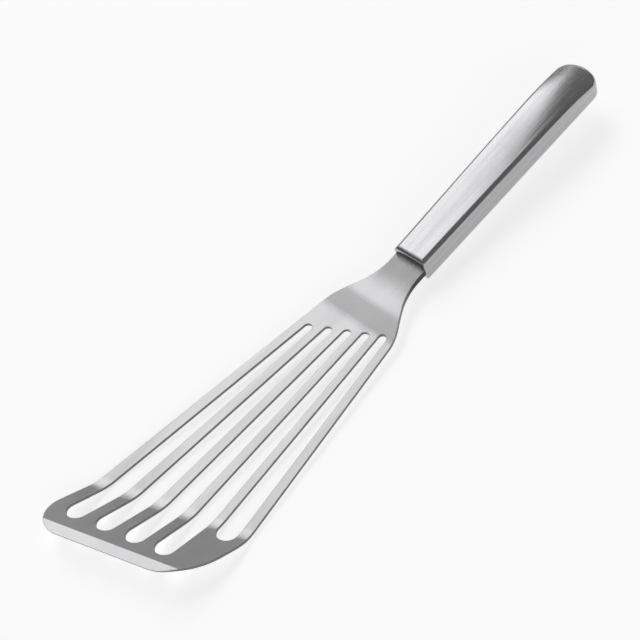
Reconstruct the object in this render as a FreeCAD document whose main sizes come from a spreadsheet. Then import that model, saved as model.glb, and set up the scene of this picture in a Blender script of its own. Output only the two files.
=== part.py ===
import FreeCAD, Part
import math
import os

import Sketcher
from FreeCAD import Placement, Rotation, Vector

# Slotted grill spatula: a stamped steel blade whose tang is welded into a hollow two-shell handle.
#
# Axes while modelling: X runs from the butt to the tip, Y to the tool's left and Z up. The flat middle of
# the blade's underside lies in Z = 0, and X = 0 is level with the upper end of the middle slot. At the end
# the whole tool is set down the way it lies on a table, with its origin under the middle of its length.

OUT_FOLDER = "parts"
SLOTS = range(-2, 3)
SHORT_SLOT = 2
CROWN_STEPS = 12

# name, value (millimetres, degrees for angles), what it is
SIZES = [
    ("sheet", 1.5, "thickness of the blade"),
    ("half_base", 22.65, "half width of the blade at X = 0"),
    ("flare", 7.8, "angle of each side of the blade to X, degrees"),
    ("shoulder_x", -10.2, "where the straight sides end and the shoulders begin"),
    ("neck_half", 9.0, "half width of the neck and of the handle's mouth"),
    ("neck_round", 38.0, "radius from the neck into the shoulder"),
    ("shoulder_round", 28.0, "radius from the shoulder into the side"),
    ("shoulder_drop", 21.6, "length of the shoulder along X"),
    ("bend_x", 112.0, "where the tip starts to turn up, on the middle line"),
    ("bend_slant", 16.5, "angle of the bend and the front edge to Y, degrees"),
    ("tip_angle", 22.8, "angle of the turned-up tip, degrees"),
    ("bend_round", 18.0, "inside radius of the tip's bend"),
    ("front_x", 146.0, "front edge on the middle line"),
    ("tip_flare", 9.6, "angle of the long side to X beyond the bend, degrees"),
    ("long_corner", 12.0, "radius of the corner on the long side"),
    ("short_front_y", 23.0, "where the front edge turns into the short corner"),
    ("short_mid_x", 125.5, "middle of the short corner, X"),
    ("short_mid_y", 35.0, "middle of the short corner, Y"),
    ("short_side_x", 106.0, "where the short corner runs into the side"),
    ("short_front_round", 16.0, "radius at the front end of the short corner"),
    ("short_mid_round", 30.0, "radius in the middle of the short corner"),
    ("grind", 5.5, "width of the ground facet along the front edge"),
    ("edge_land", 0.45, "thickness left at the front edge"),
    ("fan_apex", 157.0, "distance from X = 0 back to where the slots' lines meet"),
    ("fan_pitch", 2.98, "angle between neighbouring slots, degrees"),
    ("slot_top_slant", 24.6, "slant of the row of upper slot ends, degrees"),
    ("slot_end_x", 131.2, "row of lower slot ends on the middle line"),
    ("slot_end_slant", 14.5, "slant of the row of lower slot ends, degrees"),
    ("short_slot_end_x", 105.0, "lower end of the slot at the short corner"),
    ("slot_top_round", 2.25, "radius of an upper slot end"),
    ("slot_end_round", 5.0, "radius of a lower slot end"),
    ("mouth_x", -45.7, "front of the handle"),
    ("mouth_z", 3.3, "middle of the tang at the mouth"),
    ("tang_thick", 3.2, "thickness of the neck and tang at the handle"),
    ("tang_length", 62.0, "length of the tang inside the handle"),
    ("tang_end_half", 5.0, "half width of the tang at its end"),
    ("neck_top", 3.85, "height of the neck's upper face behind the set"),
    ("set_front_x", -6.5, "front of the neck's offset"),
    ("set_back_x", -19.5, "back of the neck's offset"),
    ("set_round", 24.0, "radii of the neck's offset"),
    ("neck_low", 1.3, "height of the neck's underside behind the set"),
    ("handle_angle", 4.0, "rise of the handle from the blade, degrees"),
    ("handle_length", 131.0, "length of the handle"),
    ("butt_half", 11.2, "half width of the handle at the butt"),
    ("butt_corner", 7.2, "radius of the butt's corners in plan"),
    ("butt_crown", 3.2, "how far the middle of the butt stands out"),
    ("butt_round", 17.0, "radius of the butt's middle in plan"),
    ("upper_depth", 6.6, "height of the upper shell above the seam"),
    ("lower_depth", 7.9, "depth of the lower shell below the seam"),
    ("upper_edge", 2.3, "radius along the upper shell's edges"),
    ("lower_edge", 3.2, "radius along the lower shell's edges"),
    ("crown_mouth", 500.0, "radius across the handle's top at the mouth"),
    ("crown_butt", 28.0, "radius across the handle's top at the butt"),
    ("fall_start", 0.75, "where the butt starts to fall away, as a fraction of the handle"),
    ("fall", 3.2, "how far the butt falls at its end"),
    ("wall", 0.9, "wall of the handle's shells"),
    ("tang_gap", 0.15, "clearance between the tang and the shells' mouth"),
    ("seam_weld", 0.8, "height of the ground weld along the seam"),
    ("upper_bead", 0.9, "leg of the weld bead on top of the neck"),
    ("lower_bead", 2.4, "leg of the weld bead under the neck"),
    ("bead_inset", 1.9, "how far the beads stop short of the neck's sides"),
]

doc = FreeCAD.newDocument("grill_spatula")
sheet = doc.addObject("Spreadsheet::Sheet", "Sizes")


def fill_sheet():
    for row, (name, value, meaning) in enumerate(SIZES, start=1):
        sheet.set(f"A{row}", name)
        sheet.set(f"B{row}", str(value))
        sheet.set(f"C{row}", meaning)
        sheet.setAlias(f"B{row}", name)
    doc.recompute()


def full(expression):
    """The expression with each size's name spelt the way other objects have to write it."""
    words, word = [], ""
    for letter in expression + " ":
        if letter.isalnum() or letter in "_.":
            word += letter
            continue
        words.append(f"Sizes.{word}" if word in NAMES else word)
        words.append(letter)
        word = ""
    return "".join(words).strip()


NAMES = {name for name, _, _ in SIZES}


def number(expression):
    """An expression's value now, in millimetres or degrees."""
    value = sheet.evalExpression(full(expression).replace("Sizes.", ""))
    return float(getattr(value, "Value", value))


def origin_plane(body, role):
    return next(f for f in body.Origin.OriginFeatures if f.Role == role)


def new_body(name):
    body = doc.addObject("PartDesign::Body", name)
    body.Label = name
    return body


def new_sketch(body, name, role, offset=None):
    sketch = body.newObject("Sketcher::SketchObject", name)
    sketch.AttachmentSupport = [(origin_plane(body, role), "")]
    sketch.MapMode = "FlatFace"
    if offset is not None:
        sketch.AttachmentOffset = offset
    return sketch


def bind(sketch, constraint, expression):
    """Adds a constraint whose value follows the expression."""
    index = sketch.addConstraint(constraint)
    sketch.setExpression(f"Constraints[{index}]", full(expression))


def pin_point(sketch, geo, pos, x, y):
    bind(sketch, Sketcher.Constraint("DistanceX", -1, 1, geo, pos, number(x)), x)
    bind(sketch, Sketcher.Constraint("DistanceY", -1, 1, geo, pos, number(y)), y)


def corner_arc(before, corner, after, radius):
    """Centre, both tangent points, and which way the path turns, where a corner is rounded."""
    to_back = (before - corner).normalize()
    to_front = (after - corner).normalize()
    half = to_back.getAngle(to_front) / 2
    reach = radius / math.tan(half)
    middle = (to_back + to_front).normalize()
    centre = corner + middle * (radius / math.sin(half))
    left_turn = (corner - before).cross(after - corner).z > 0
    return centre, corner + to_back * reach, corner + to_front * reach, left_turn


def draw_loop(sketch, corners):
    """A closed path. Each corner is (x, y, radius) in expressions, with no radius where it is sharp."""
    places = [Vector(number(x), number(y), 0) for x, y, _ in corners]
    count = len(corners)
    rounds = []
    for k, (_, _, radius) in enumerate(corners):
        found = None
        if radius is not None:
            found = corner_arc(places[k - 1], places[k], places[(k + 1) % count], number(radius))
        rounds.append(found)
    lines = []
    for k in range(count):
        following = (k + 1) % count
        start = rounds[k][2] if rounds[k] else places[k]
        end = rounds[following][1] if rounds[following] else places[following]
        lines.append(sketch.addGeometry(Part.LineSegment(start, end), False))
    for k, (x, y, radius) in enumerate(corners):
        back, front = lines[k - 1], lines[k]
        if radius is None:
            sketch.addConstraint(Sketcher.Constraint("Coincident", back, 2, front, 1))
            pin_point(sketch, front, 1, x, y)
            continue
        centre, first, last, left_turn = rounds[k]
        begin, end = (first, last) if left_turn else (last, first)
        circle = Part.Circle(centre, Vector(0, 0, 1), number(radius))
        angles = [math.atan2(p.y - centre.y, p.x - centre.x) for p in (begin, end)]
        if angles[1] < angles[0]:
            angles[1] += 2 * math.pi
        arc = sketch.addGeometry(Part.ArcOfCircle(circle, *angles), False)
        corner = sketch.addGeometry(Part.Point(places[k]), True)
        enter, leave = (1, 2) if left_turn else (2, 1)
        sketch.addConstraint(Sketcher.Constraint("Tangent", back, 2, arc, enter))
        sketch.addConstraint(Sketcher.Constraint("Tangent", arc, leave, front, 1))
        sketch.addConstraint(Sketcher.Constraint("PointOnObject", corner, 1, back))
        sketch.addConstraint(Sketcher.Constraint("PointOnObject", corner, 1, front))
        pin_point(sketch, corner, 1, x, y)
        bind(sketch, Sketcher.Constraint("Radius", arc, number(radius)), radius)


def draw_rectangle(sketch, x_low, x_high, y_low, y_high):
    corners = [(x_low, y_low), (x_high, y_low), (x_high, y_high), (x_low, y_high)]
    draw_loop(sketch, [(x, y, None) for x, y in corners])


def draw_tapered_slot(sketch, top, end):
    """A slot between two round ends. Each end is (x, y, radius) in expressions, with top at the lower X."""
    (x1, y1, r1), (x2, y2, r2) = [[number(word) for word in place] for place in (top, end)]
    heading = math.atan2(y2 - y1, x2 - x1)
    lean = math.acos((r1 - r2) / math.hypot(x2 - x1, y2 - y1))
    rims = [(Vector(x1, y1, 0), r1), (Vector(x2, y2, 0), r2)]
    outward = [Vector(math.cos(heading + s * lean), math.sin(heading + s * lean), 0) for s in (1, -1)]
    touch = [[centre + side * radius for centre, radius in rims] for side in outward]
    left = sketch.addGeometry(Part.LineSegment(touch[0][1], touch[0][0]), False)
    right = sketch.addGeometry(Part.LineSegment(touch[1][0], touch[1][1]), False)
    spans = [(heading + lean, heading - lean + 2 * math.pi), (heading - lean, heading + lean)]
    arcs = []
    for (centre, radius), span in zip(rims, spans):
        circle = Part.Circle(centre, Vector(0, 0, 1), radius)
        arcs.append(sketch.addGeometry(Part.ArcOfCircle(circle, *span), False))
    upper, lower = arcs
    for pair in ((left, 2, upper, 1), (upper, 2, right, 1), (right, 2, lower, 1), (lower, 2, left, 1)):
        sketch.addConstraint(Sketcher.Constraint("Tangent", *pair))
    for arc, (x, y, radius) in ((upper, top), (lower, end)):
        pin_point(sketch, arc, 3, x, y)
        bind(sketch, Sketcher.Constraint("Radius", arc, number(radius)), radius)


def pad(body, name, sketch, length, midplane=False, reverse=False):
    feature = body.newObject("PartDesign::Pad", name)
    feature.Profile = sketch
    feature.Midplane = midplane
    feature.Reversed = reverse
    feature.Length = number(length)
    feature.setExpression("Length", full(length))
    sketch.Visibility = False
    doc.recompute()
    return feature


def pocket(body, name, sketch, both_ways=True):
    """Cuts the sketch right through, and checks that something was cut."""
    before = body.Shape.Volume
    feature = body.newObject("PartDesign::Pocket", name)
    feature.Profile = sketch
    feature.Type = "ThroughAll"
    feature.Midplane = both_ways
    sketch.Visibility = False
    doc.recompute()
    if not body.Shape.Volume < before:
        raise RuntimeError(f"{name} cut nothing")
    return feature


def dress(body, kind, name, base, picks, size):
    """A Fillet or Chamfer on the edges of base that picks names."""
    feature = body.newObject(f"PartDesign::{kind}", name)
    feature.Base = (base, picks)
    word = "Radius" if kind == "Fillet" else "Size"
    setattr(feature, word, number(size))
    feature.setExpression(word, full(size))
    doc.recompute()
    return feature


# ---------------------------------------------------------------- blade


def slanted(x, y, slant):
    """X of a line that crosses the middle line at x and leans back by slant towards +Y."""
    return f"({x}) - ({y}) * tan({slant})"


def side_y(x):
    return f"half_base + ({x}) * tan(flare)"


def slot_centre(step, row_x, slant):
    """Where slot number step's line crosses the row that slants across the blade."""
    rise = f"tan({step} * fan_pitch)"
    x = f"(({row_x}) - tan({slant}) * {rise} * fan_apex) / (1 + tan({slant}) * {rise})"
    return x, f"{rise} * (({x}) + fan_apex)"


def blade_outline():
    """Corners of the blade's plan, anticlockwise from the tang's end."""
    tang_x = "mouth_x - tang_length"
    bend_y = "-(half_base + bend_x * tan(flare)) / (1 - tan(bend_slant) * tan(flare))"
    bend_x = slanted("bend_x", bend_y, "bend_slant")
    tip_rise = "tan(tip_flare)"
    corner_y = (
        f"(({bend_y}) + (({bend_x}) - front_x) * {tip_rise}) / (1 - tan(bend_slant) * {tip_rise})"
    )
    corner_x = slanted("front_x", corner_y, "bend_slant")
    front_end_x = slanted("front_x", "short_front_y", "bend_slant")
    shoulder_y = side_y("shoulder_x")
    tang_half = "neck_half - wall - 2 * tang_gap"
    step_x = "mouth_x + tang_thick / 2 * sin(handle_angle)"
    neck_front_x = "shoulder_x - shoulder_drop"
    return [
        (tang_x, "-tang_end_half", None),
        (step_x, f"-({tang_half})", None),
        (step_x, "-neck_half", None),
        (neck_front_x, "-neck_half", "neck_round"),
        ("shoulder_x", f"-({shoulder_y})", "shoulder_round"),
        (bend_x, bend_y, "60"),
        (corner_x, corner_y, "long_corner"),
        (front_end_x, "short_front_y", "short_front_round"),
        ("short_mid_x", "short_mid_y", "short_mid_round"),
        ("short_side_x", side_y("short_side_x"), "short_mid_round"),
        ("shoulder_x", shoulder_y, "shoulder_round"),
        (neck_front_x, "neck_half", "neck_round"),
        (step_x, "neck_half", None),
        (step_x, tang_half, None),
        (tang_x, "tang_end_half", None),
    ]


def side_profile():
    """The tang, neck and flat of the blade seen from the side, along X and Z."""
    slope = "tan(handle_angle)"
    approach = "mouth_x + 4"
    end_x = "mouth_x - tang_length"
    flat_end = "bend_x / 2"
    top, low = "mouth_z + tang_thick / 2", "mouth_z - tang_thick / 2"
    return [
        (flat_end, "0", None),
        (flat_end, "sheet", None),
        ("set_front_x", "sheet", "set_round"),
        ("set_back_x", "neck_top", "set_round"),
        (approach, f"{top} - 4 * {slope}", None),
        (end_x, f"{top} + tang_length * {slope}", None),
        (end_x, f"{low} + tang_length * {slope}", None),
        (approach, f"{low} - 4 * {slope}", None),
        ("set_back_x", "neck_low", "set_round"),
        ("set_front_x", "0", "set_round"),
    ]


def tip_profile():
    """The flat and the turned-up tip, along the line square to the bend and Z."""
    bend = "bend_x * cos(bend_slant)"
    reach = "80"
    run, rise = f"{reach} * cos(tip_angle)", f"{reach} * sin(tip_angle)"
    lean = "sheet * tan(tip_angle / 2)"
    return [
        ("0", "0", None),
        (f"{bend}", "0", "bend_round + sheet"),
        (f"{bend} + {run}", rise, None),
        (f"{bend} + {run} - sheet * sin(tip_angle)", f"{rise} + sheet * cos(tip_angle)", None),
        (f"{bend} - {lean}", "sheet", "bend_round"),
        ("0", "sheet", None),
    ]


def grind_profile():
    """What the grinding of the front edge removes, in the same plane as the tip's profile."""
    bend = "bend_x * cos(bend_slant)"
    front = "(front_x - bend_x) * cos(bend_slant)"
    edge = (f"{bend} + {front}", f"{front} * tan(tip_angle) + edge_land / cos(tip_angle)")
    back = "grind * cos(tip_angle)"
    start = (
        f"{bend} + {front} - {back}",
        f"({front} - {back}) * tan(tip_angle) + sheet / cos(tip_angle)",
    )
    far_x = f"({edge[0]}) + (({edge[0]}) - ({start[0]}))"
    far_z = f"({edge[1]}) + (({edge[1]}) - ({start[1]}))"
    above = [(far_x, f"({far_z}) + 8"), (start[0], f"({start[1]}) + 8")]
    return [(x, z, None) for x, z in [start, (far_x, far_z)] + above]


def bend_plane():
    """Turns a sketch on the XZ plane so that it stands square to the bend."""
    return Placement(Vector(0, 0, 0), Rotation(Vector(0, 1, 0), number("bend_slant")))


def make_blade():
    body = new_body("blade")
    profile = new_sketch(body, "SideProfile", "XZ_Plane")
    draw_loop(profile, side_profile())
    pad(body, "NeckAndFlat", profile, "140", midplane=True)
    tip = new_sketch(body, "TipProfile", "XZ_Plane", bend_plane())
    draw_loop(tip, tip_profile())
    pad(body, "TurnedUpTip", tip, "190", midplane=True)
    outline = new_sketch(body, "Outline", "XY_Plane")
    draw_loop(outline, blade_outline())
    draw_rectangle(outline, "-400", "400", "-300", "300")
    pocket(body, "Blanking", outline)
    slots = new_sketch(body, "Slots", "XY_Plane")
    for step in SLOTS:
        top = (*slot_centre(step, "0", "slot_top_slant"), "slot_top_round")
        if step == SHORT_SLOT:
            rise = f"tan({step} * fan_pitch)"
            low = ("short_slot_end_x", f"{rise} * (short_slot_end_x + fan_apex)")
        else:
            low = slot_centre(step, "slot_end_x", "slot_end_slant")
        draw_tapered_slot(slots, top, (*low, "slot_end_round"))
    pocket(body, "SlotRow", slots)
    grind = new_sketch(body, "GrindProfile", "XZ_Plane", bend_plane())
    draw_loop(grind, grind_profile())
    pocket(body, "FrontGrind", grind)
    return body



# ---------------------------------------------------------------- handle


def butt_outline(inset="0", start="0"):
    """The handle in plan, from its mouth back to the rounded butt."""
    front, back = f"neck_half - {inset}", f"butt_half - {inset}"
    end = f"-(handle_length - {inset})"
    shoulder = f"{end} + butt_crown"
    return [
        (start, f"-({front})", None),
        (start, front, None),
        (shoulder, back, f"butt_corner - {inset}"),
        (end, "0", f"butt_round - {inset}"),
        (shoulder, f"-({back})", f"butt_corner - {inset}"),
    ]


def draw_crown_cut(sketch, peak, radius):
    """The space above one cross-section of the handle's top, an arc that peaks on the middle line."""
    half, roof = 14.0, number("upper_depth") + 8
    top, size = number(peak), number(radius)
    foot = top - size + math.sqrt(size**2 - half**2)
    centre = Vector(0, top - size, 0)
    spread = math.asin(half / size)
    circle = Part.Circle(centre, Vector(0, 0, 1), size)
    arc = sketch.addGeometry(Part.ArcOfCircle(circle, math.pi / 2 - spread, math.pi / 2 + spread), False)
    corners = [Vector(half, foot, 0), Vector(half, roof, 0), Vector(-half, roof, 0), Vector(-half, foot, 0)]
    sides = [sketch.addGeometry(Part.LineSegment(a, b), False) for a, b in zip(corners, corners[1:])]
    right, over, left = sides
    for pair in ((arc, 1, right, 1), (right, 2, over, 1), (over, 2, left, 1), (left, 2, arc, 2)):
        sketch.addConstraint(Sketcher.Constraint("Coincident", *pair))
    sketch.addConstraint(Sketcher.Constraint("Vertical", right))
    sketch.addConstraint(Sketcher.Constraint("Vertical", left))
    pin_point(sketch, over, 1, "14", "upper_depth + 8")
    pin_point(sketch, over, 2, "-14", "upper_depth + 8")
    sketch.addConstraint(Sketcher.Constraint("PointOnObject", arc, 3, -2))
    bind(sketch, Sketcher.Constraint("DistanceY", -1, 1, arc, 3, top - size), f"{peak} - ({radius})")
    bind(sketch, Sketcher.Constraint("Radius", arc, size), radius)


def crown_section(step):
    """Place along the handle, height of the peak and radius across, at one step from mouth to butt."""
    along = step / CROWN_STEPS
    place = f"3 - {along} * (handle_length + 5)"
    fallen = f"max(0; ({along} - fall_start) / (1 - fall_start))"
    peak = f"upper_depth - fall * ({fallen}) ^ 2"
    radius = f"1 / ({along**3} / crown_butt + {1 - along**3} / crown_mouth)"
    return place, peak, radius


def cut_crown(body, inset):
    """Shapes the handle's top: flat at the mouth, more crowned towards the butt, where it falls away."""
    sketches = []
    for step in range(CROWN_STEPS + 1):
        place, peak, radius = crown_section(step)
        sketch = body.newObject("Sketcher::SketchObject", f"{body.Name}_crown_{step}")
        sketch.AttachmentSupport = [(origin_plane(body, "YZ_Plane"), "")]
        sketch.MapMode = "FlatFace"
        sketch.AttachmentOffset = Placement(Vector(0, 0, number(place)), Rotation())
        sketch.setExpression("AttachmentOffset.Base.z", full(place))
        draw_crown_cut(sketch, f"{peak} - {inset}", f"{radius} - {inset}")
        sketches.append(sketch)
    doc.recompute()
    before = body.Shape.Volume
    loft = body.newObject("PartDesign::SubtractiveLoft", f"{body.Name}_crown")
    loft.Profile = sketches[0]
    loft.Sections = sketches[1:]
    loft.Ruled = False
    for sketch in sketches:
        sketch.Visibility = False
    doc.recompute()
    if not body.Shape.Volume < before:
        raise RuntimeError("the crown cut nothing")


def face_normal(face):
    u0, u1, v0, v1 = face.ParameterRange
    return face.normalAt((u0 + u1) / 2, (v0 + v1) / 2)


def rim_edges(shape, up):
    """Names of the edges between the shell's crown, which faces up (1) or down (-1), and its walls."""
    names = []
    for k, edge in enumerate(shape.Edges, start=1):
        lifts = sorted(face_normal(face).z * up for face in shape.ancestorsOfType(edge, Part.Face))
        if abs(lifts[0]) < 0.05 and lifts[-1] > 0.5:
            names.append(f"Edge{k}")
    return names


def make_half(name, up, depth, edge_radius, inset, bottom):
    """A solid half of the handle, drawn in by inset, from its bottom height up (or down) to its crown."""
    body = new_body(name)
    lift = Placement(Vector(0, 0, up * number(bottom)), Rotation())
    plan = new_sketch(body, f"{name}_plan", "XY_Plane", lift)
    draw_loop(plan, butt_outline(inset, f"-({inset})"))
    if up > 0:
        pad(body, f"{name}_block", plan, f"{depth} + fall")
        cut_crown(body, inset)
    else:
        pad(body, f"{name}_block", plan, f"{depth} - {inset} - ({bottom})", reverse=True)
    block = body.Tip
    dress(body, "Fillet", f"{name}_edges", block, rim_edges(block.Shape, up), f"{edge_radius} - {inset}")
    return body


def make_shell(name, up, depth, edge_radius):
    """One pressed half of the handle, above (up = 1) or below (up = -1) the seam."""
    body = make_half(name, up, depth, edge_radius, "0", "seam_weld / 2")
    core = make_half(f"{name}_core", up, depth, edge_radius, "wall", "0")
    hollow = body.newObject("PartDesign::Boolean", f"{name}_hollow")
    hollow.setObjects([core])
    hollow.Type = "Cut"
    doc.recompute()
    mouth = new_sketch(body, f"{name}_mouth", "YZ_Plane")
    half = "neck_half - wall - tang_gap"
    reach = "tang_thick / 2 + tang_gap"
    low, high = ("0", reach) if up > 0 else (f"-({reach})", "0")
    draw_rectangle(mouth, f"-({half})", half, low, high)
    opening = pocket(body, f"{name}_opening", mouth)
    opening.Type = "Length"
    opening.Length = number("4 * wall")
    opening.setExpression("Length", full("4 * wall"))
    doc.recompute()
    return body


def make_seam_weld():
    """The ground weld that joins the shells along both sides and round the butt."""
    body = new_body("handle_seam_weld")
    outside = new_sketch(body, "SeamOutside", "XY_Plane")
    draw_loop(outside, butt_outline())
    pad(body, "SeamPlate", outside, "seam_weld", midplane=True)
    inside = new_sketch(body, "SeamInside", "XY_Plane")
    draw_loop(inside, butt_outline("wall", "wall"))
    pocket(body, "SeamHollow", inside)
    return body


def make_bead(name, up, leg):
    """A fillet weld between the neck and the front of the handle, above or below the neck."""
    body = new_body(name)
    section = new_sketch(body, f"{name}_section", "XZ_Plane")
    start = f"{up} * tang_thick / 2"
    end = f"{up} * (tang_thick / 2 + {leg})"
    near = f"{up} * (tang_thick / 2 + 0.25 * {leg})"
    hollow = (f"0.25 * {leg}", near, f"0.9 * {leg}")
    draw_loop(section, [("0", start, None), (leg, start, None), hollow, ("0", end, None)])
    pad(body, f"{name}_run", section, "2 * (neck_half - bead_inset)", midplane=True)
    return body


def handle_place():
    """Where the handle's own frame, with its origin in the middle of the mouth, stands on the blade."""
    turn = Rotation(Vector(0, 1, 0), number("handle_angle"))
    return Placement(Vector(number("mouth_x"), 0, number("mouth_z")), turn)


# ---------------------------------------------------------------- whole tool


def moved_box(bodies, place):
    """The bounding box the bodies would have if they were moved by place."""
    box = FreeCAD.BoundBox()
    for body in bodies:
        shape = body.Shape.copy()
        shape.Placement = place.multiply(shape.Placement)
        box.add(shape.optimalBoundingBox(False))
    return box


def table_place(blade_bodies, handle_bodies):
    """Tips the tool nose down until the blade's heel and the handle's front touch the table together."""
    low, high = 0.0, 10.0
    for _ in range(24):
        middle = (low + high) / 2
        place = Placement(Vector(0, 0, 0), Rotation(Vector(0, 1, 0), middle))
        if moved_box(blade_bodies, place).ZMin > moved_box(handle_bodies, place).ZMin:
            low = middle
        else:
            high = middle
    box = moved_box(blade_bodies + handle_bodies, place)
    return Placement(Vector(-box.Center.x, -box.Center.y, -box.ZMin), place.Rotation)


def check(bodies):
    for item in doc.Objects:
        if "Invalid" in item.State or "Error" in item.State:
            raise RuntimeError(f"{item.Name} is not up to date: {item.State}")
    for body in bodies:
        if body.Shape.isNull() or not body.Shape.isValid() or len(body.Shape.Solids) != 1:
            raise RuntimeError(f"{body.Label} is not one valid solid")


def main():
    fill_sheet()
    blade = make_blade()
    handle = [
        make_shell("handle_upper_shell", 1, "upper_depth", "upper_edge"),
        make_shell("handle_lower_shell", -1, "lower_depth", "lower_edge"),
        make_seam_weld(),
        make_bead("neck_weld_top", 1, "upper_bead"),
        make_bead("neck_weld_bottom", -1, "lower_bead"),
    ]
    for body in handle:
        body.Placement = handle_place()
    doc.recompute()
    bodies = [blade] + handle
    rest = table_place([blade], handle)
    for body in bodies:
        body.Placement = rest.multiply(body.Placement)
    doc.recompute()
    check(bodies)
    os.makedirs(OUT_FOLDER, exist_ok=True)
    for body in bodies:
        body.Shape.exportStep(os.path.join(OUT_FOLDER, f"{body.Label}.step"))
        print(body.Label, round(body.Shape.Volume), body.Shape.optimalBoundingBox(False))
    print("rest", rest)


main()
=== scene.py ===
import math

import bpy
from mathutils import Matrix, Vector


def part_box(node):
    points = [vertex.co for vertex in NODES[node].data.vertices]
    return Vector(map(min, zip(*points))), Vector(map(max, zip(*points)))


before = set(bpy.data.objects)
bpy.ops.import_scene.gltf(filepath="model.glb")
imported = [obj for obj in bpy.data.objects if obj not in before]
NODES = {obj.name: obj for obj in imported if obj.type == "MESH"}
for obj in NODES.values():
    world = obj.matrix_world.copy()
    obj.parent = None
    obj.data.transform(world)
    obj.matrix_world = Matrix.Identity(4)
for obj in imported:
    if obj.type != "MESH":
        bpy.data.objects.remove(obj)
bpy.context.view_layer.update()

# brightness of the room against the sine of the height above the horizon
ROOM = [(0.0, 0.6), (0.12, 0.23), (0.3, 0.1), (0.7, 0.22), (1.0, 0.17)]

# the white sheet under the tool: half its side in metres, its reflectance, and its own glow
FLOOR_HALF = 3.0
FLOOR_WHITE = 0.9
FLOOR_GLOW = 0.62

# the photo's camera: lens and sensor in millimetres, the rest in metres and degrees
LENS = 91.18
SENSOR_WIDTH = 36.0
NEAREST_SEEN = 0.01
CAMERA_TARGET = Vector((0.01247, -0.01148, 0.006))
CAMERA_AZIMUTH = 58.705
CAMERA_ELEVATION = 51.695
CAMERA_ROLL = -19.092
CAMERA_DISTANCE = 0.73895

# how far the blade and the handle rise towards the butt, in degrees
BLADE_PITCH = 1.48
HANDLE_RISE = 4.0
HANDLE_PITCH = BLADE_PITCH + HANDLE_RISE

# the tool's own length, which the brushing follows
TOOL_AXIS = (1.0, 0.0, 0.0)

# the value that noise varies about
NOISE_MEAN = 0.5

# the brushing mixes fine streaks with broad ones, which have this much of their cycles to the metre
FINE_SHARE = 0.55
BROAD_SHARE = 1.0 - FINE_SHARE
BROAD_ALONG = 0.5
BROAD_ACROSS = 0.2

# how high the brushing stands in the surface, in metres, before its bump is taken as a share of it
RELIEF_HEIGHT = 0.0004

# how far the blotches from handling change the roughness
BLOTCH_ROUGH = 0.06

# the neck beside the handle's mouth is sanded after welding and darkened there by painted shade: its
# length, the share of it that is sanded and shaded in full, the added roughness and grain, and the painted
# shade
MOUTH_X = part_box("handle_upper_shell")[1][0]
SANDED_AND_SHADED_LENGTH = 0.021
SANDED_AND_SHADED_FULL = 0.3
SANDED_ROUGH = 0.1
SANDED_GRAIN = 1.5
NECK_PAINTED_SHADE = 0.2

# the sheared walls of the sheet get painted shade that makes them darker than its faces: the upward part
# of the normal at which the painted shade starts, at which it is full, and how dark it is
WALL_SHADE_START = 0.6
WALL_SHADE_FULL = 0.3
WALL_PAINTED_SHADE = 0.68

# how far the shading rounds the edges of the sheet and of the pressed and ground handle, in metres
SHEET_EDGE = 0.0003
HANDLE_EDGE = 0.00003
EDGE_SAMPLES = 6


class Graph:
    """Short spelling for building a node tree."""

    def __init__(self, tree):
        self.tree = tree
        tree.nodes.clear()

    def add(self, kind, settings=None, **sockets):
        node = self.tree.nodes.new(kind)
        for key, value in (settings or {}).items():
            setattr(node, key, value)
        for key, value in sockets.items():
            self.put(node, key, value)
        return node

    def put(self, node, key, value):
        """Link or set a socket, which is called by its name or by i and its number."""
        socket = node.inputs[int(key[1:])] if key[0] == "i" and key[1:].isdigit() else node.inputs[key]
        if isinstance(value, bpy.types.NodeSocket):
            self.tree.links.new(value, socket)
        else:
            socket.default_value = value

    def math(self, operation, a, b=0.0, clamp=False):
        node = self.add("ShaderNodeMath", {"operation": operation, "use_clamp": clamp}, i0=a, i1=b)
        return node.outputs[0]

    def eased_ramp(self, value, stops):
        """A grey level for each value, eased between stops of place and level."""
        node = self.add("ShaderNodeValToRGB", i0=value)
        ramp = node.color_ramp
        ramp.interpolation = "EASE"
        while len(ramp.elements) > 1:
            ramp.elements.remove(ramp.elements[-1])
        for k, (place, level) in enumerate(stops):
            element = ramp.elements[0] if k == 0 else ramp.elements.new(place)
            element.position = place
            element.color = (level, level, level, 1.0)
        return node.outputs[0]


def new_material(name):
    """A material and the empty graph of its nodes."""
    material = bpy.data.materials.new(name)
    material.use_nodes = True
    return material, Graph(material.node_tree)


def new_object(name, data):
    """An object in the scene that shows the data."""
    thing = bpy.data.objects.new(name, data)
    bpy.context.collection.objects.link(thing)
    return thing


def noise(g, vector, detail, rough):
    node = g.add("ShaderNodeTexNoise", i0=vector)
    node.inputs["Scale"].default_value = 1.0
    node.inputs["Detail"].default_value = detail
    node.inputs["Roughness"].default_value = rough
    return node.outputs["Fac"]


def stretched(g, coords, along, across):
    """Coordinates with so many cycles to the metre along the brushing and across it."""
    node = g.add("ShaderNodeMapping")
    g.put(node, "Vector", coords)
    node.inputs["Scale"].default_value = (along, across, across)
    return node.outputs[0]


def along_grain(g, pitch):
    """Object coordinates turned so that their X runs along the brushing, which rises by pitch degrees."""
    coords = g.add("ShaderNodeTexCoord").outputs["Object"]
    node = g.add("ShaderNodeMapping")
    g.put(node, "Vector", coords)
    node.inputs["Rotation"].default_value = (0.0, -math.radians(pitch), 0.0)
    return node.outputs[0]


def streaks(g, coords, along, across):
    """The brushing, as a value that varies about a half."""
    fine = noise(g, stretched(g, coords, along, across), detail=4.0, rough=0.6)
    wide = stretched(g, coords, along * BROAD_ALONG, across * BROAD_ACROSS)
    broad = noise(g, wide, detail=3.0, rough=0.6)
    return g.math("ADD", g.math("MULTIPLY", fine, FINE_SHARE), g.math("MULTIPLY", broad, BROAD_SHARE))


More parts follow.
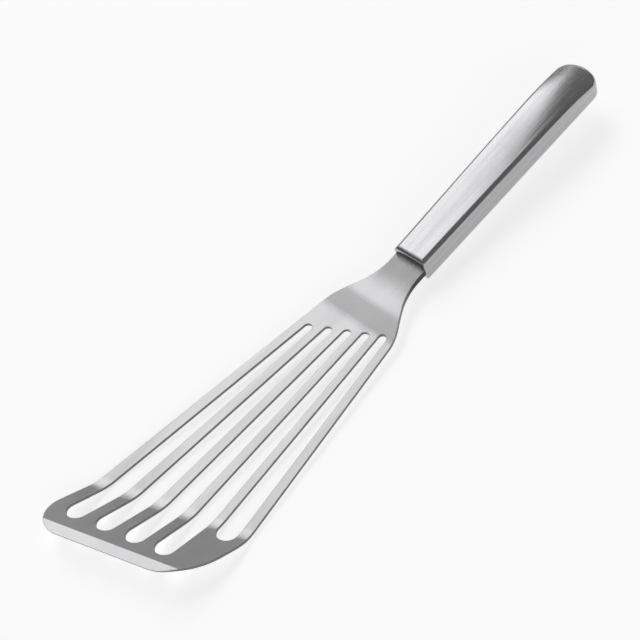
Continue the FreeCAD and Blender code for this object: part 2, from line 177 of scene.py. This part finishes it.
def blotches(g, coords):
    """Soft blotches from handling, as an amount to add to the roughness."""
    cloud = noise(g, stretched(g, coords, along=22.0, across=40.0), detail=2.0, rough=0.5)
    return g.math("MULTIPLY", g.math("SUBTRACT", cloud, NOISE_MEAN), BLOTCH_ROUGH)


def sanded_and_shaded_neck(g):
    """One beside the handle, where the neck is sanded after welding and has painted shade, fading to
    nought along the neck.
    """
    coords = g.add("ShaderNodeTexCoord").outputs["Object"]
    x = g.add("ShaderNodeSeparateXYZ", i0=coords).outputs[0]
    fade = g.add("ShaderNodeMapRange", {"interpolation_type": "SMOOTHSTEP"}, Value=x)
    fade.inputs["From Min"].default_value = MOUTH_X + SANDED_AND_SHADED_LENGTH
    fade.inputs["From Max"].default_value = MOUTH_X + SANDED_AND_SHADED_FULL * SANDED_AND_SHADED_LENGTH
    return fade.outputs[0]


def wall_for_painted_shade(g):
    """One on the upright walls that the shear leaves round the slots and the outline, where painted shade
    goes, nought elsewhere.
    """
    normal = g.add("ShaderNodeNewGeometry").outputs["Normal"]
    upward = g.math("ABSOLUTE", g.add("ShaderNodeSeparateXYZ", i0=normal).outputs[2])
    wall = g.add("ShaderNodeMapRange", Value=upward)
    wall.inputs["From Min"].default_value = WALL_SHADE_START
    wall.inputs["From Max"].default_value = WALL_SHADE_FULL
    return wall.outputs[0]


def tinted(g, tint, level):
    """The tint, made lighter or darker by a grey level."""
    color = g.add("ShaderNodeMix", {"data_type": "RGBA", "blend_type": "MULTIPLY"})
    color.inputs[0].default_value = 1.0
    color.inputs[6].default_value = (*tint, 1.0)
    grey = g.add("ShaderNodeCombineColor", i0=level, i1=level, i2=level).outputs[0]
    g.put(color, "i7", grey)
    return color.outputs[2]


def relief(g, height, bump, edge):
    """The surface's direction, with the brushing raised on it and the sharp edges rounded."""
    rounded = g.add("ShaderNodeBevel", {"samples": EDGE_SAMPLES})
    rounded.inputs["Radius"].default_value = edge
    bumped = g.add("ShaderNodeBump", Height=height, Normal=rounded.outputs[0])
    bumped.inputs["Strength"].default_value = bump
    bumped.inputs["Distance"].default_value = RELIEF_HEIGHT
    return bumped.outputs[0]


def crosswise(g):
    """The direction in the surface that runs square to the brushing."""
    normal = g.add("ShaderNodeNewGeometry").outputs["Normal"]
    cross = g.add("ShaderNodeVectorMath", {"operation": "CROSS_PRODUCT"}, i0=normal)
    cross.inputs[1].default_value = TOOL_AXIS
    return cross.outputs[0]


def steel(name, tint, rough, edge, pitch=HANDLE_PITCH, streak=0.2, grain=0.2, bump=0.02, across=900.0,
          along=12.0, aniso=0.6, stamped_and_shaded=False):
    """Brushed stainless steel, with its grain along the tool and soft blotches from handling."""
    material, g = new_material(name)
    coords = along_grain(g, pitch)
    grains = streaks(g, coords, along, across)
    spread = g.math("SUBTRACT", grains, NOISE_MEAN)
    if stamped_and_shaded:
        neck = sanded_and_shaded_neck(g)
        spread = g.math("MULTIPLY", spread, g.math("ADD", 1.0, g.math("MULTIPLY", neck, SANDED_GRAIN)))
        rough = g.math("ADD", rough, g.math("MULTIPLY", neck, SANDED_ROUGH))
    level = g.math("ADD", 1.0, g.math("MULTIPLY", spread, streak))
    if stamped_and_shaded:
        # painted shade: the colour is darkened on the neck beside the handle's mouth
        level = g.math("SUBTRACT", level, g.math("MULTIPLY", neck, NECK_PAINTED_SHADE))
        # painted shade: the colour is darkened on the sheet's upright walls
        level = g.math("SUBTRACT", level, g.math("MULTIPLY", wall_for_painted_shade(g), WALL_PAINTED_SHADE))
    brushed = g.math("ADD", rough, g.math("MULTIPLY", spread, grain))
    shader = g.add("ShaderNodeBsdfPrincipled")
    g.put(shader, "Base Color", tinted(g, tint, level))
    g.put(shader, "Roughness", g.math("ADD", brushed, blotches(g, coords), clamp=True))
    g.put(shader, "Normal", relief(g, grains, bump, edge))
    g.put(shader, "Tangent", crosswise(g))
    shader.inputs["Anisotropic"].default_value = aniso
    shader.inputs["Metallic"].default_value = 1.0
    out = g.add("ShaderNodeOutputMaterial")
    g.put(out, "Surface", shader.outputs[0])
    return material


def wear(node, material):
    """Give a CAD piece its one material."""
    mesh = NODES[node].data
    mesh.materials.clear()
    mesh.materials.append(material)


def studio_world():
    """A grey room: bright at the horizon, dim above it and a little lighter overhead."""
    world = bpy.data.worlds.new("studio")
    bpy.context.scene.world = world
    world.use_nodes = True
    g = Graph(world.node_tree)
    direction = g.add("ShaderNodeTexCoord").outputs["Generated"]
    height = g.add("ShaderNodeSeparateXYZ", i0=direction).outputs[2]
    back = g.add("ShaderNodeBackground", i0=g.eased_ramp(height, ROOM))
    out = g.add("ShaderNodeOutputWorld")
    g.put(out, "Surface", back.outputs[0])


def face(thing, target, azimuth, elevation, distance, spin):
    """Stand a lamp or a camera away from its target, in a direction in degrees, and turn it to face it."""
    az = math.radians(azimuth)
    el = math.radians(elevation)
    away = Vector((math.cos(el) * math.cos(az), math.cos(el) * math.sin(az), math.sin(el)))
    thing.location = target + away * distance
    thing.rotation_mode = "QUATERNION"
    turn = Matrix.Rotation(math.radians(spin), 4, "Z")
    thing.rotation_quaternion = (away.to_track_quat("Z", "Y").to_matrix().to_4x4() @ turn).to_quaternion()


def softbox(name, azimuth, elevation, distance, width, height, radiance, spin=0.0):
    """A rectangular lamp that faces the tool, with its distance and sizes in metres."""
    data = bpy.data.lights.new(name, "AREA")
    data.shape = "RECTANGLE"
    data.size = width
    data.size_y = height
    data.energy = radiance * math.pi * width * height
    face(new_object(name, data), Vector(), azimuth, elevation, distance, spin)


def floor():
    """A white sheet that glows to the camera and in the metal, while its paper takes the shadow."""
    mesh = bpy.data.meshes.new("floor")
    corners = [(x * FLOOR_HALF, y * FLOOR_HALF, 0.0) for x, y in ((-1, -1), (1, -1), (1, 1), (-1, 1))]
    mesh.from_pydata(corners, [], [(0, 1, 2, 3)])
    plane = new_object("floor", mesh)
    material, g = new_material("floor")
    paper = g.add("ShaderNodeBsdfDiffuse")
    paper.inputs["Color"].default_value = (FLOOR_WHITE, FLOOR_WHITE, FLOOR_WHITE, 1.0)
    rays = g.add("ShaderNodeLightPath")
    seen = g.math("ADD", rays.outputs["Is Camera Ray"], rays.outputs["Is Glossy Ray"], clamp=True)
    glow = g.add("ShaderNodeEmission")
    g.put(glow, "Strength", g.math("MULTIPLY", seen, FLOOR_GLOW))
    both = g.add("ShaderNodeAddShader", i0=paper.outputs[0], i1=glow.outputs[0])
    out = g.add("ShaderNodeOutputMaterial")
    g.put(out, "Surface", both.outputs[0])
    mesh.materials.append(material)


def camera():
    data = bpy.data.cameras.new("camera")
    data.lens = LENS
    data.sensor_width = SENSOR_WIDTH
    data.clip_start = NEAREST_SEEN
    cam = new_object("camera", data)
    face(cam, CAMERA_TARGET, CAMERA_AZIMUTH, CAMERA_ELEVATION, CAMERA_DISTANCE, CAMERA_ROLL)
    bpy.context.scene.camera = cam


blade_steel = steel("blade steel", (0.53, 0.53, 0.54), rough=0.34, edge=SHEET_EDGE, pitch=BLADE_PITCH,
                    across=1500.0, aniso=0.5, stamped_and_shaded=True)
handle_steel = steel("handle steel", (0.445, 0.44, 0.45), rough=0.24, edge=HANDLE_EDGE, streak=0.32,
                     grain=0.4, bump=0.03, across=1500.0, along=15.0)
weld_steel = steel("weld steel", (0.5, 0.5, 0.51), rough=0.28, edge=HANDLE_EDGE)
wear("blade", blade_steel)
for node in ("handle_upper_shell", "handle_lower_shell"):
    wear(node, handle_steel)
for node in ("handle_seam_weld", "neck_weld_top", "neck_weld_bottom"):
    wear(node, weld_steel)

studio_world()
floor()
softbox("key", azimuth=243.0, elevation=46.0, distance=4.0, width=1.41, height=2.45, radiance=2.1,
        spin=-25.0)
softbox("back", azimuth=212.0, elevation=22.0, distance=1.6, width=0.7, height=0.4, radiance=1.2)
softbox("side", azimuth=280.0, elevation=56.0, distance=1.6, width=0.7, height=0.6, radiance=0.8)
softbox("fill", azimuth=60.0, elevation=20.0, distance=1.8, width=2.6, height=1.0, radiance=0.75)
camera()
view = bpy.context.scene.view_settings
view.view_transform = "Standard"
